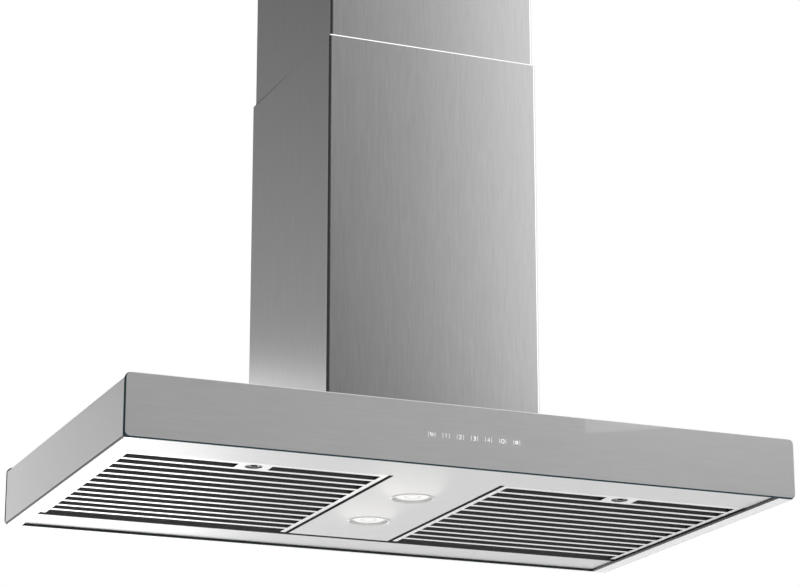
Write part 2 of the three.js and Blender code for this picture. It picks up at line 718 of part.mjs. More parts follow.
// The lower sheet with its slots, whose edges are turned up, and the frame round it. Its rear
// rail is stepped up and hangs on the back strip's lip.
function filterFrame() {
  const edge = 5.8; // height of the turned-up slot edges
  const x = FILTER_HALF;
  const wallX = x - FILTER_WALL;
  const wallY = FILTER_FRONT + FILTER_WALL;
  const railZ = [HOOK_LIP_TOP + GAP, HOOK_LIP_TOP + GAP + 1];
  const railFront = BACK_STRIP_FRONT - 9.7;
  const turnedUp = [];
  const slots = [];
  for (let i = 0; i < SLOT_COUNT; i++) {
    const front = slotFront(i);
    const back = front + SLOT_WIDTH;
    for (const span of slotSpans(i)) {
      slots.push(box(span, [front, back], [RECESS - 1, filterSheetTop + edge]));
      const edgeZ = [RECESS, RECESS + edge];
      turnedUp.push(box(span, [front - FILTER_SHEET, front + 0.1], edgeZ));
      if (i < SLOT_COUNT - 1) turnedUp.push(box(span, [back - 0.1, back + FILTER_SHEET], edgeZ));
    }
  }
  const walls = outline([
    [-x, railFront + 2],
    [-x, FILTER_FRONT],
    [x, FILTER_FRONT],
    [x, railFront + 2],
    [wallX, railFront + 2],
    [wallX, wallY],
    [-wallX, wallY],
    [-wallX, railFront + 2],
  ]);
  const lip = FILTER_WALL / 2;
  const sheetY = [FILTER_FRONT + lip, FILTER_BACK];
  const sheet = box([lip - x, x - lip], sheetY, [RECESS, filterSheetTop]);
  const underRail = box([-x - 1, x + 1], [FILTER_BACK, railFront + 3], [RECESS - 1, RECESS + 4.5]);
  const frame = join(
    cut(join(sheet, ...turnedUp), ...slots),
    cut(alongZ(walls, RECESS, filterTop), underRail),
    box([-x, x], [railFront, BACK_STRIP_FRONT + 6.5], railZ),
  );
  const slide = LATCH_SLIDE_HALF + 0.4;
  const latchHole = [0, LATCH_Y, 0];
  return cut(
    frame,
    rod(LATCH_HOLE_RADIUS, RECESS - 1, filterSheetTop + 0.1, "z", latchHole, 24),
    box([-slide, slide], [FILTER_FRONT - 1, FILTER_FRONT + 2], [filterSheetTop + 0.1, 6.7]),
  );
}

// Upside-down channels over the slots, joined by a strap near each end.
function filterBaffles() {
  const half = 13.5;
  const x = FILTER_HALF - FILTER_WALL - 0.4;
  const inside = half - FILTER_SHEET;
  const [low, ceiling, top] = [7.5, 12.6, 13.4];
  const pieces = [-1, 1].map((side) => {
    const strap = [side * (x - 1), side * (x - 11)].sort((a, b) => a - b);
    return box(strap, [FILTER_FRONT + 1.5, FILTER_BACK], [13.2, 14.4]);
  });
  for (let i = 0; i < SLOT_COUNT; i++) {
    const middle = slotFront(i) + SLOT_WIDTH / 2;
    const channel = outline([
      [middle - half, low],
      [middle - inside, low],
      [middle - inside, ceiling],
      [middle + inside, ceiling],
      [middle + inside, low],
      [middle + half, low],
      [middle + half, top],
      [middle - half, top],
    ]);
    pieces.push(alongX(channel, -x, x));
  }
  return join(...pieces);
}

// The bracket that keeps the latch against the sheet, open below and at both ends.
function latchGuide() {
  const slide = LATCH_SLIDE_HALF + 0.3;
  const y = [FILTER_FRONT + 1.5, LATCH_Y + 16];
  return cut(
    box([-13, 13], y, [filterSheetTop + GAP, 7.3]),
    box([-slide, slide], [y[0] - 1, y[1] + 1], [filterSheetTop, 6.6]),
  );
}

// A sliding bolt with a round finger grip in the hole. It stops just short of the front strip.
function latchBolt() {
  const z = [filterSheetTop + 0.4, 6.3];
  const nose = FRONT_STRIP_BACK + 0.7;
  const shape = outline([
    [-LATCH_SLIDE_HALF, LATCH_Y + 13.5],
    [-LATCH_SLIDE_HALF, nose + 3],
    [-LATCH_SLIDE_HALF + 3, nose],
    [LATCH_SLIDE_HALF - 3, nose],
    [LATCH_SLIDE_HALF, nose + 3],
    [LATCH_SLIDE_HALF, LATCH_Y + 13.5],
  ]);
  const grip = rod(6.5, RECESS + 0.2, z[0] + 0.2, "z", [0, LATCH_Y - 2.2, 0], 20);
  return join(alongZ(shape, ...z), grip);
}

function buildFilters(hood) {
  for (const [name, side] of [["left", -1], ["right", 1]]) {
    const filter = new THREE.Group();
    filter.position.x = side * FILTER_CENTRE_X;
    addPiece(filter, `${name}_filter_frame`, filterFrame(), brushedSteel);
    addPiece(filter, `${name}_filter_baffles`, filterBaffles(), brushedSteel);
    addPiece(filter, `${name}_latch_guide`, latchGuide(), galvanised);
    addPiece(filter, `${name}_latch_bolt`, latchBolt(), blackPlastic);
    hood.add(filter);
  }
}

// ---- Whole hood -----------------------------------------------------------------------------

const hood = new THREE.Group();
hood.position.z = -HANG;
buildCanopy(hood);
buildLamps(hood);
buildTouchControl(hood);
buildPowerControl(hood);
buildJunctionBox(hood);
buildLowerChimney(hood);
buildBlower(hood);
buildOutlet(hood);
buildFilters(hood);

const rangeHood = new THREE.Group();
rangeHood.add(buildCeilingMount(), hood);

export default rangeHood;
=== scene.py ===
"""Island range hood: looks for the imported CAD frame. Lengths are metres, Z is up, -Y is the front."""

import json
import math

import bmesh
import bpy
from mathutils import Matrix, Vector


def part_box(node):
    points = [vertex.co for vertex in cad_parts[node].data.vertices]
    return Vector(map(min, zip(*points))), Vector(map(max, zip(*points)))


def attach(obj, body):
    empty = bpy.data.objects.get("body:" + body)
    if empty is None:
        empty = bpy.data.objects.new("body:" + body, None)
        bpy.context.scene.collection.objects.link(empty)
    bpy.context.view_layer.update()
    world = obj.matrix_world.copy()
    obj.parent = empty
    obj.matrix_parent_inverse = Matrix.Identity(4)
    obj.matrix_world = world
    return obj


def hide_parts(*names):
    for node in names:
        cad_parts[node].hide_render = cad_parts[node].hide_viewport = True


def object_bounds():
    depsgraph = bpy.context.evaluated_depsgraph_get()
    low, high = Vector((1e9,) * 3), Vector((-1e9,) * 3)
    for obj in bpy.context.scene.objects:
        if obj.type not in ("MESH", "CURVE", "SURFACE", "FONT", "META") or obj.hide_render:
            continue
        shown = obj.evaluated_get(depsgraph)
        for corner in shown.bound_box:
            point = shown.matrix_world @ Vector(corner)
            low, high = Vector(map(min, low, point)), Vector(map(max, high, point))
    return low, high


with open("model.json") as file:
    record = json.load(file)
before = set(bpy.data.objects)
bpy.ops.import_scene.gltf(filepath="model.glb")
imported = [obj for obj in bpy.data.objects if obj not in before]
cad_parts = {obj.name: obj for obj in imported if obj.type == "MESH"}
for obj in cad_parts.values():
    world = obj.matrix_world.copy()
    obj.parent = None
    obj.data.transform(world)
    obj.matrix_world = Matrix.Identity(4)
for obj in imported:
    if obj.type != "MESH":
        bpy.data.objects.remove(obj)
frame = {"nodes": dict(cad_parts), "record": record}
cad_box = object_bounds()

MM = 0.001
AXES = "xyz"
NODES = frame["nodes"]
BODY_OF = {n: b for b, ns in frame["record"]["behaviour"]["bodies"].items() for n in ns}
SLOT_OF = {s["node"]: s["material_slot"] for s in frame["record"]["subparts"]}


# ---- Shader helpers --------------------------------------------------------------------------


def new_material(name, **sockets):
    """A Principled material. Constant values go on the shader's own sockets."""
    material = bpy.data.materials.new(name)
    material.use_nodes = True
    shader = material.node_tree.nodes["Principled BSDF"]
    for socket, value in sockets.items():
        shader.inputs[socket.replace("_", " ")].default_value = value
    return material, material.node_tree, shader


def grey(value):
    return (value, value, value, 1)


def object_noise(tree, scales, detail=3.0):
    """Noise over the object's own coordinates, with its own scale along each axis, per metre."""
    nodes, links = tree.nodes, tree.links
    place = nodes.new("ShaderNodeTexCoord")
    mapping = nodes.new("ShaderNodeMapping")
    mapping.inputs["Scale"].default_value = scales
    noise = nodes.new("ShaderNodeTexNoise")
    noise.inputs["Scale"].default_value = 1.0
    noise.inputs["Detail"].default_value = detail
    noise.inputs["Roughness"].default_value = 0.55
    links.new(place.outputs["Object"], mapping.inputs["Vector"])
    links.new(mapping.outputs["Vector"], noise.inputs["Vector"])
    return noise.outputs["Fac"]


def map_range(tree, value, low, high, start=0.3, end=0.7, smooth=False):
    """A value between start and end, turned into one between low and high."""
    node = tree.nodes.new("ShaderNodeMapRange")
    node.interpolation_type = "SMOOTHSTEP" if smooth else "LINEAR"
    tree.links.new(value, node.inputs["Value"])
    node.inputs["From Min"].default_value = start
    node.inputs["From Max"].default_value = end
    node.inputs["To Min"].default_value = low
    node.inputs["To Max"].default_value = high
    return node.outputs["Result"]


def colour_ramp(tree, value, *stops):
    """A colour for each value, from stops of a position and a colour."""
    node = tree.nodes.new("ShaderNodeValToRGB")
    ramp = node.color_ramp
    while len(ramp.elements) < len(stops):
        ramp.elements.new(0.5)
    for element, (position, colour) in zip(ramp.elements, stops):
        element.position = position
        element.color = colour
    tree.links.new(value, node.inputs["Fac"])
    return node.outputs["Color"]


def add_bump(tree, shader, height, strength):
    """Fine relief, 0.1 mm deep at full strength."""
    bump = tree.nodes.new("ShaderNodeBump")
    bump.inputs["Strength"].default_value = strength
    bump.inputs["Distance"].default_value = 0.1 * MM
    tree.links.new(height, bump.inputs["Height"])
    tree.links.new(bump.outputs["Normal"], shader.inputs["Normal"])


STREAKS = (600.0, 32.0)  # noise scales across and along the grain, per metre
BANDS = (70.0, 5.0)
BAND_SHARE = 0.18
GLOSS_CHANGE = 0.012  # either way, so that the grain doesn't break a reflection up


def grain_noise(tree, scales, along):
    """Noise drawn out along one axis."""
    across, lengthwise = scales
    stretched = [across] * 3
    stretched[AXES.index(along)] = lengthwise
    return object_noise(tree, stretched, detail=2.0)


def brushed(
    name, colour, roughness, along, contrast=0.03, anisotropy=0.6, bump=0.05, metallic=1.0
):
    """Brushed steel with its grain along one axis, "x", "y" or "z"."""
    material, tree, shader = new_material(name, Metallic=metallic, Anisotropic=anisotropy)
    streaks = grain_noise(tree, STREAKS, along)
    bands = grain_noise(tree, BANDS, along)
    mixed = tree.nodes.new("ShaderNodeMix")
    mixed.inputs["Factor"].default_value = BAND_SHARE
    tree.links.new(streaks, mixed.inputs["A"])
    tree.links.new(bands, mixed.inputs["B"])
    value = mixed.outputs["Result"]
    low, high = grey(colour * (1 - contrast)), grey(colour * (1 + contrast))
    tree.links.new(colour_ramp(tree, value, (0.3, low), (0.7, high)), shader.inputs["Base Color"])
    rough = map_range(tree, value, roughness - GLOSS_CHANGE, roughness + GLOSS_CHANGE)
    tree.links.new(rough, shader.inputs["Roughness"])
    add_bump(tree, shader, streaks, bump)
    tangent = tree.nodes.new("ShaderNodeTangent")
    tangent.direction_type = "RADIAL"
    tangent.axis = along.upper()
    tree.links.new(tangent.outputs["Tangent"], shader.inputs["Tangent"])
    return material


def mottled(name, colour, roughness, metallic=0.0, grain=220.0, contrast=0.08, bump=0.15):
    """Moulded plastic, enamel or cast metal: fine even grain in colour, gloss and surface."""
    material, tree, shader = new_material(name, Metallic=metallic)
    noise = object_noise(tree, (grain,) * 3, detail=4.0)
    low = tuple(c * (1 - contrast) for c in colour) + (1,)
    high = tuple(c * (1 + contrast) for c in colour) + (1,)
    tree.links.new(colour_ramp(tree, noise, (0.3, low), (0.7, high)), shader.inputs["Base Color"])
    rough = map_range(tree, noise, roughness - 0.05, roughness + 0.05)
    tree.links.new(rough, shader.inputs["Roughness"])
    add_bump(tree, shader, noise, bump)
    return material


def galvanised_steel():
    """Zinc coat: crystal patches of slightly different grey."""
    material, tree, shader = new_material("galvanised_steel", Metallic=1.0)
    place = tree.nodes.new("ShaderNodeTexCoord")
    cells = tree.nodes.new("ShaderNodeTexVoronoi")
    cells.inputs["Scale"].default_value = 110.0
    tree.links.new(place.outputs["Object"], cells.inputs["Vector"])
    ramp = colour_ramp(tree, cells.outputs["Color"], (0.2, grey(0.42)), (0.9, grey(0.56)))
    tree.links.new(ramp, shader.inputs["Base Color"])
    rough = map_range(tree, cells.outputs["Color"], 0.32, 0.5, 0.0, 1.0)
    tree.links.new(rough, shader.inputs["Roughness"])
    return material


def painted_glass():
    """Grey paint seen through clear glass, with the paint's faint level streaks."""
    material, tree, shader = new_material(
        "painted_glass", Metallic=0.2, Coat_Weight=1.0, Coat_Roughness=0.03, Coat_IOR=1.5
    )
    streaks = object_noise(tree, (22.0, 300.0, 330.0), detail=3.0)
    ramp = colour_ramp(tree, streaks, (0.3, grey(0.55)), (0.7, grey(0.585)))
    tree.links.new(ramp, shader.inputs["Base Color"])
    rough = map_range(tree, streaks, 0.42, 0.52)
    tree.links.new(rough, shader.inputs["Roughness"])
    return material


def glass_edge(name, low, high, **sockets):
    """A ground edge of the glass, finely frosted between two colours."""
    material, tree, shader = new_material(name, **sockets)
    noise = object_noise(tree, (400.0,) * 3)
    tree.links.new(colour_ramp(tree, noise, (0.3, low), (0.7, high)), shader.inputs["Base Color"])
    tree.links.new(map_range(tree, noise, 0.3, 0.42), shader.inputs["Roughness"])
    return material


LENS_RINGS = (
    (0.0, (0.98, 0.98, 0.97, 1)),
    (0.16, (0.9, 0.9, 0.89, 1)),
    (0.22, (0.62, 0.62, 0.61, 1)),
    (0.27, (0.93, 0.93, 0.92, 1)),
    (0.4, (0.97, 0.97, 0.96, 1)),
    (0.5, (0.7, 0.7, 0.69, 1)),
)


def lit_lens():
    """A frosted lens that glows in soft rings. Its middle is at 0 in LENS_RINGS, its rim at 0.5."""
    material, tree, shader = new_material("lamp_lens", Roughness=0.35, Emission_Strength=0.76)
    place = tree.nodes.new("ShaderNodeTexCoord")
    radius = tree.nodes.new("ShaderNodeVectorMath")
    radius.operation = "DISTANCE"
    radius.inputs[1].default_value = (0.5, 0.5, 0.5)
    flat = tree.nodes.new("ShaderNodeMapping")
    flat.inputs["Scale"].default_value = (1, 1, 0)
    flat.inputs["Location"].default_value = (0, 0, 0.5)
    tree.links.new(place.outputs["Generated"], flat.inputs["Vector"])
    tree.links.new(flat.outputs["Vector"], radius.inputs[0])
    glow = colour_ramp(tree, radius.outputs["Value"], *LENS_RINGS)
    tree.links.new(glow, shader.inputs["Emission Color"])
    noise = object_noise(tree, (600.0,) * 3)
    tint = colour_ramp(tree, noise, (0.3, grey(0.1)), (0.7, grey(0.14)))
    tree.links.new(tint, shader.inputs["Base Color"])
    add_bump(tree, shader, noise, 0.3)
    return material


def circuit_board():
    """Green lacquer over fine paler tracks."""
    material, tree, shader = new_material("circuit_board", Coat_Weight=0.5, Coat_Roughness=0.2)
    tracks = object_noise(tree, (260.0, 90.0, 260.0), detail=0.0)
    board, track = (0.012, 0.09, 0.035, 1), (0.03, 0.17, 0.07, 1)
    ramp = colour_ramp(tree, tracks, (0.49, board), (0.51, track))
    tree.links.new(ramp, shader.inputs["Base Color"])
    tree.links.new(map_range(tree, tracks, 0.35, 0.5), shader.inputs["Roughness"])
    return material


def key_print():
    """White screen print on the glass, with a faint painted glow."""
    material, tree, shader = new_material("key_print", Emission_Strength=0.5)
    noise = object_noise(tree, (900.0,) * 3)
    tint = colour_ramp(tree, noise, (0.3, grey(0.86)), (0.7, grey(0.95)))
    tree.links.new(tint, shader.inputs["Base Color"])
    tree.links.new(tint, shader.inputs["Emission Color"])
    tree.links.new(map_range(tree, noise, 0.4, 0.5), shader.inputs["Roughness"])
    return material


CHIMNEY = brushed("chimney_steel", 0.475, 0.30, "z", contrast=0.065, bump=0.012)
# Copies of the chimney steel with their own colour and gloss: painted shade on the left fold with a
# painted highlight on the top edge, and a painted highlight on the right fold.
FOLD_SHADE_TOP_HIGHLIGHT = brushed("chimney_painted_fold_shade_and_top_highlight", 0.75, 0.20, "z", anisotropy=0.3)
FOLD_HIGHLIGHT = brushed("chimney_painted_fold_highlight", 0.85, 0.20, "z", anisotropy=0.3)
SIDE_STEEL = brushed("side_steel", 0.62, 0.38, "z", contrast=0.02)
# A lighter copy of the steel for the rims' undersides: painted highlight.
RIM_HIGHLIGHT = brushed("rim_painted_highlight", 0.95, 0.36, "y", contrast=0.02, anisotropy=0.4)
PLATE_STEEL = brushed("plate_steel", 0.77, 0.44, "x", anisotropy=0.4)
FILTER_STEEL = brushed("filter_steel", 0.92, 0.36, "x", contrast=0.02, anisotropy=0.2, bump=0.02)
# A dark copy of the steel for the baffles' faces seen through the slots: painted shade.
BAFFLE_SHADE = brushed("baffle_painted_shade", 0.095, 0.42, "x", anisotropy=0.2, bump=0.02, metallic=0.5)
# A dark copy of the steel for turned-up edges and the filter frames' walls: painted shade.
TURNED_EDGE_SHADE = brushed("turned_edge_painted_shade", 0.11, 0.45, "x", anisotropy=0.2, metallic=0.5)
# A dark copy of the side steel for the side panels' bottom folds and lips: painted shade.
SIDE_FOLD_SHADE = brushed("side_fold_painted_shade", 0.06, 0.36, "y", anisotropy=0.2)
GALVANISED = galvanised_steel()
GLASS_FACE = painted_glass()
GLASS_INNER_BLACK = mottled("glass_inner_black", (0.004, 0.004, 0.004), 0.6)
# Dark teal edges: the glass's own edge colour, made darker and without reflections as painted shade.
GLASS_EDGE_AND_SHADE = glass_edge(
    "glass_edge", (0.035, 0.065, 0.075, 1), (0.05, 0.085, 0.095, 1), Specular_IOR_Level=0.0
)
# The arris: a lighter copy as a painted highlight, with a faint emission as a painted glow.
GLASS_ARRIS_HIGHLIGHT = glass_edge(
    "glass_arris_painted_highlight",
    (0.86, 0.88, 0.88, 1),
    (0.92, 0.94, 0.94, 1),
    Emission_Color=(0.9, 0.95, 0.95, 1),
    Emission_Strength=0.15,
)
BLACK = mottled("black_plastic", (0.02, 0.02, 0.021), 0.45)
GREY_PLASTIC = mottled("grey_plastic", (0.16, 0.165, 0.17), 0.5)
MOTOR_STEEL = mottled("motor_steel", (0.09, 0.1, 0.11), 0.38, metallic=0.7)
DARK_CHROME = mottled("dark_chrome", (0.22, 0.22, 0.23), 0.16, metallic=1.0, contrast=0.04, bump=0.02)
ALUMINIUM = mottled("satin_aluminium", (0.74, 0.74, 0.75), 0.3, metallic=1.0, grain=500.0)
LAMP_WELL = mottled("lamp_well", (0.62, 0.62, 0.61), 0.4, metallic=0.6)
BOARD = circuit_board()
LENS = lit_lens()
KEY_PRINT = key_print()

LOOK_OF_SLOT = {
    "brushed_steel": PLATE_STEEL,
    "chimney_steel": CHIMNEY,
    "galvanised_steel": GALVANISED,
    "grey_glass": GLASS_FACE,
    "black_plastic": BLACK,
    "grey_plastic": GREY_PLASTIC,
    "circuit_board": BOARD,
    "lamp_lens": LENS,
    "satin_aluminium": ALUMINIUM,
    "motor_steel": MOTOR_STEEL,
}


# ---- Mesh helpers ----------------------------------------------------------------------------


def make_object(name, bm, looks, sharp=32, pick=None):
    """A linked object from a bmesh, smooth except across edges sharper than an angle.

    The looks are one material or a list, and pick gives the number of a face's look in the list.
    Large faces lead the shading, so that a flat face beside a small bevel still looks flat.
    """
    bmesh.ops.recalc_face_normals(bm, faces=bm.faces)
    if pick:
        bm.normal_update()
        for face in bm.faces:
            face.material_index = pick(face)
    mesh = bpy.data.meshes.new(name)
    bm.to_mesh(mesh)
    bm.free()
    for look in looks if isinstance(looks, list) else [looks]:
        mesh.materials.append(look)
    mesh.polygons.foreach_set("use_smooth", [True] * len(mesh.polygons))
    mesh.set_sharp_from_angle(angle=math.radians(sharp))
    made = bpy.data.objects.new(name, mesh)
    bpy.context.scene.collection.objects.link(made)
    shading = made.modifiers.new("flat_faces", "WEIGHTED_NORMAL")
    shading.weight = 100
    shading.keep_sharp = True
    return made


def stand_in(piece, node):
    """The piece takes the place and body of a CAD node."""
    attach(piece, BODY_OF[node])
    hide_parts(node)


def extra(piece, body):
    """A piece that no CAD node stands for, such as a printed key."""
    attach(piece, body)


def bevel_edges(bm, width):
    """Eases every edge that turns by more than 30 degrees."""
    bmesh.ops.recalc_face_normals(bm, faces=bm.faces)
    least = math.radians(30)
    edges = [e for e in bm.edges if len(e.link_faces) == 2 and e.calc_face_angle(0) > least]
    bmesh.ops.bevel(
        bm,
        geom=edges,
        offset=width,
        offset_type="OFFSET",
        segments=2,
        profile=0.5,
        affect="EDGES",
        clamp_overlap=True,
    )


def refined(node, bevel, looks=None, pick=None):
    """A CAD node's shape with its folded or moulded edges eased by a bevel's width."""
    bm = bmesh.new()
    bm.from_mesh(NODES[node].data)
    bmesh.ops.remove_doubles(bm, verts=bm.verts, dist=0.002 * MM)
    bmesh.ops.dissolve_limit(bm, angle_limit=math.radians(1), verts=bm.verts, edges=bm.edges)
    bevel_edges(bm, bevel)
    looks = looks or LOOK_OF_SLOT[SLOT_OF[node]]
    stand_in(make_object(node + "_skin", bm, looks, pick=pick), node)


def rounded(points, radii, steps=5):
    """A closed 2-D outline with each corner turned into an arc, of one radius or its own."""
    radii = [radii] * len(points) if isinstance(radii, float) else radii
    out = []
    for i, (point, radius) in enumerate(zip(points, radii)):
        corner = Vector(point)
        before = (Vector(points[i - 1]) - corner).normalized()
        after = (Vector(points[(i + 1) % len(points)]) - corner).normalized()
        half = before.angle(after) / 2
        reach = radius / math.tan(half)
        middle = corner + (before + after).normalized() * (radius / math.sin(half))
        start = corner + before * reach - middle
        end = corner + after * reach - middle
        sweep = start.angle_signed(end)
        for k in range(steps + 1):
            turn = Matrix.Rotation(-sweep * k / steps, 2)
            out.append(middle + turn @ start)
    return [tuple(p) for p in out]


def prism(bm, outline, axis, low, high):
    """An outline in the other two axes, in x, y, z order, extruded along one axis."""
    at = AXES.index(axis)
    rings = []
    for level in (low, high):
        ring = []
        for a, b in outline:
            co = [a, b]
            co.insert(at, level)
            ring.append(bm.verts.new(co))
        rings.append(ring)
    one, two = rings
    bm.faces.new(one)
    bm.faces.new(two)
    for i in range(len(outline)):
        j = (i + 1) % len(outline)
        bm.faces.new((one[i], one[j], two[j], two[i]))


def lathe(bm, profile, centre, steps=96):
    """Turns (radius, height) points round an upright axis. The profile closes on itself."""
    x, y = centre
    rings = []
    for k in range(steps):
        a = 2 * math.pi * k / steps
        c, s = math.cos(a), math.sin(a)
        rings.append([bm.verts.new((x + r * c, y + r * s, height)) for r, height in profile])
    for k in range(steps):
        one, two = rings[k], rings[(k + 1) % steps]
        for i in range(len(profile)):
            j = (i + 1) % len(profile)
            bm.faces.new((one[i], one[j], two[j], two[i]))
    bmesh.ops.remove_doubles(bm, verts=bm.verts, dist=0.001 * MM)


def span(node):
    """A node's box as (x0, y0, z0), (x1, y1, z1)."""
    low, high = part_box(node)
    return tuple(low), tuple(high)


def middle_of(node):
    """The middle of a node's box."""
    low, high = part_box(node)
    return (low + high) / 2


# ---- Canopy ----------------------------------------------------------------------------------

SHEET = 1.2 * MM
GLASS_CORNER = 7 * MM
GLASS_ARRIS = 0.9 * MM
TOP_RETURN = 20 * MM
RIM_LIP = 9 * MM
OUTER_FOLD = 3 * MM  # outer radii of a side panel's folds, and of its cut edges
INNER_FOLD = 2 * MM
CUT_EDGE = 0.3 * MM


def build_glass(node):
    """Rounded corners and ground edges. The inner face is near black.

    The outer face's arris gets a painted highlight and a faint painted glow where it turns up or
    right, and so does the back panel's lower edge. The other edges are dark teal, partly the glass's
    own edge colour and partly painted shade.
    """
    (x0, y0, z0), (x1, y1, z1) = span(node)
    outwards = 1 if y1 > 0 else -1
    corners = [(x0, z0), (x1, z0), (x1, z1), (x0, z1)]
    bm = bmesh.new()
    prism(bm, rounded(corners, GLASS_CORNER, steps=10), "y", y0, y1)
    bmesh.ops.recalc_face_normals(bm, faces=bm.faces)
    rims = [e for e in bm.edges if abs(e.verts[0].co.y - e.verts[1].co.y) < 0.001 * MM]
    bmesh.ops.bevel(bm, geom=rims, offset=GLASS_ARRIS, segments=2, profile=0.5, affect="EDGES")

    # 0: outer face, 1: inner face, 2: dark edges, partly painted shade, 3: the arris's painted
    #    highlight and glow.
    def pick(face):
        normal = face.normal
        outer = normal.y * outwards
        if abs(outer) > 0.99:
            return 0 if outer > 0 else 1
        if outer > 0.2:
            return 3 if normal.z + normal.x > 0.2 else 2
        return 3 if outwards > 0 and normal.z < -0.9 else 2

    looks = [GLASS_FACE, GLASS_INNER_BLACK, GLASS_EDGE_AND_SHADE, GLASS_ARRIS_HIGHLIGHT]
    stand_in(make_object(node + "_panel", bm, looks, sharp=25, pick=pick), node)


def build_side_panel(node):
    """Sheet folded in at the top, and at the bottom into the rim and its turned-up lip.

    The rim's underside gets a lighter copy of the steel, a painted highlight, and its fold and its lip
    a dark copy, painted shade.
    """
    (x0, y0, z0), (x1, y1, z1) = span(node)
    sign = 1 if x1 > 0 else -1
    outside = max(abs(x0), abs(x1))
    inside = min(abs(x0), abs(x1))
    return_end = outside - TOP_RETURN
    profile = [
        (outside, z0),
        (outside, z1),
        (return_end, z1),
        (return_end, z1 - SHEET),
        (outside - SHEET, z1 - SHEET),
        (outside - SHEET, z0 + SHEET),
        (inside + SHEET, z0 + SHEET),
        (inside + SHEET, z0 + RIM_LIP),
        (inside, z0 + RIM_LIP),
        (inside, z0),
    ]
    outer, inner, cut = OUTER_FOLD, INNER_FOLD, CUT_EDGE
    radii = [outer, inner, cut, cut, inner - SHEET]
    radii += [outer - SHEET, inner - SHEET, cut, cut, inner]
    bm = bmesh.new()
    outline = [(sign * a, b) for a, b in rounded(profile, radii)]
    prism(bm, outline, "y", y0, y1)

    # 0: the side, 1: the rim's underside with its painted highlight, 2: painted shade on the fold and
    #    the lip.
    def pick(face):
        normal, middle = face.normal, face.calc_center_median()
        if normal.z < -0.99 and middle.z < z0 + 0.1 * MM:
            return 1
        if middle.z < z0 + RIM_LIP and abs(middle.x) < outside - 0.1 * MM:
            return 2
        return 2 if middle.z < z0 + outer / 2 else 0

    looks = [SIDE_STEEL, RIM_HIGHLIGHT, SIDE_FOLD_SHADE]
    stand_in(make_object(node + "_sheet", bm, looks, pick=pick), node)


def faces_down(level):
    """Picks the first look for the lowest faces and all that point up, the second, painted shade, for
    the rest.
    """

    def pick(face):
        low = face.calc_center_median().z < level + 0.3 * MM
        return 0 if low and face.normal.z < -0.3 or face.normal.z > 0.3 else 1

    return pick


def build_plate(node):
    """A bright plate of the underside, whose turned-up edges get a dark copy of the steel, painted
    shade.
    """
    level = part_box(node)[0].z
    refined(node, 0.3 * MM, [PLATE_STEEL, TURNED_EDGE_SHADE], faces_down(level))


# ---- Filters ---------------------------------------------------------------------------------

BOLT_THICKNESS = 2.1 * MM
BOLT_NOSE = 3 * MM
BOLT_CORNER = 1.0 * MM
GRIP_RADIUS = 6.5 * MM
GRIP_TO_TAIL = 15.7 * MM  # from the grip's middle to the bolt's back end


def build_filter(side):
    """Slotted sheet over upper baffles. The baffles keep the bright steel only where they face up;
    their other faces get a dark copy, painted shade.
    """
    frame_node = side + "_filter_frame"
    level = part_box(frame_node)[0].z
    # The frame's walls and its upper faces get the dark copy, painted shade.
    refined(frame_node, 0.2 * MM, [FILTER_STEEL, TURNED_EDGE_SHADE], faces_down(level))
    looks = [FILTER_STEEL, BAFFLE_SHADE]
    refined(side + "_filter_baffles", 0.2 * MM, looks, lambda face: int(face.normal.z <= 0.3))
    refined(side + "_latch_guide", 0.15 * MM)
    build_latch(side + "_latch_bolt")


def build_latch(node):
    """A flat bolt with a bevelled nose, and a dished finger grip below it."""
    (x0, y0, z0), (x1, y1, z1) = span(node)
    under = z1 - BOLT_THICKNESS
    outline = [
        (x0, y1),
        (x0, y0 + BOLT_NOSE),
        (x0 + BOLT_NOSE, y0),
        (x1 - BOLT_NOSE, y0),
        (x1, y0 + BOLT_NOSE),
        (x1, y1),
    ]
    bm = bmesh.new()
    prism(bm, rounded(outline, BOLT_CORNER), "z", under, z1)
    bevel_edges(bm, 0.25 * MM)
    bolt_faces = len(bm.faces)
    dish = [
        (0, under),
        (GRIP_RADIUS - 1.2 * MM, under),
        (GRIP_RADIUS, z0 + 0.7 * MM),
        (GRIP_RADIUS - 0.15 * MM, z0 + 0.25 * MM),
        (GRIP_RADIUS - 0.7 * MM, z0),
        (GRIP_RADIUS - 1.5 * MM, z0 + 0.15 * MM),
        (GRIP_RADIUS - 2.6 * MM, z0 + 0.6 * MM),
        (0, z0 + 0.8 * MM),
    ]
    lathe(bm, dish, ((x0 + x1) / 2, y1 - GRIP_TO_TAIL), 48)
    piece = make_object(node + "_grip", bm, [BLACK, DARK_CHROME])
    for i, face in enumerate(piece.data.polygons):
        face.material_index = 0 if i < bolt_faces else 1
    stand_in(piece, node)


# ---- Chimney ---------------------------------------------------------------------------------

FLUE_SHEET = 1 * MM
FLUE_FOLD = 4 * MM
FLUE_CUT_EDGE = 0.2 * MM
EASE_INWARDS = 0.7 * MM  # how far the top edge is rounded off, inwards and down
EASE_DOWN = 1.6 * MM


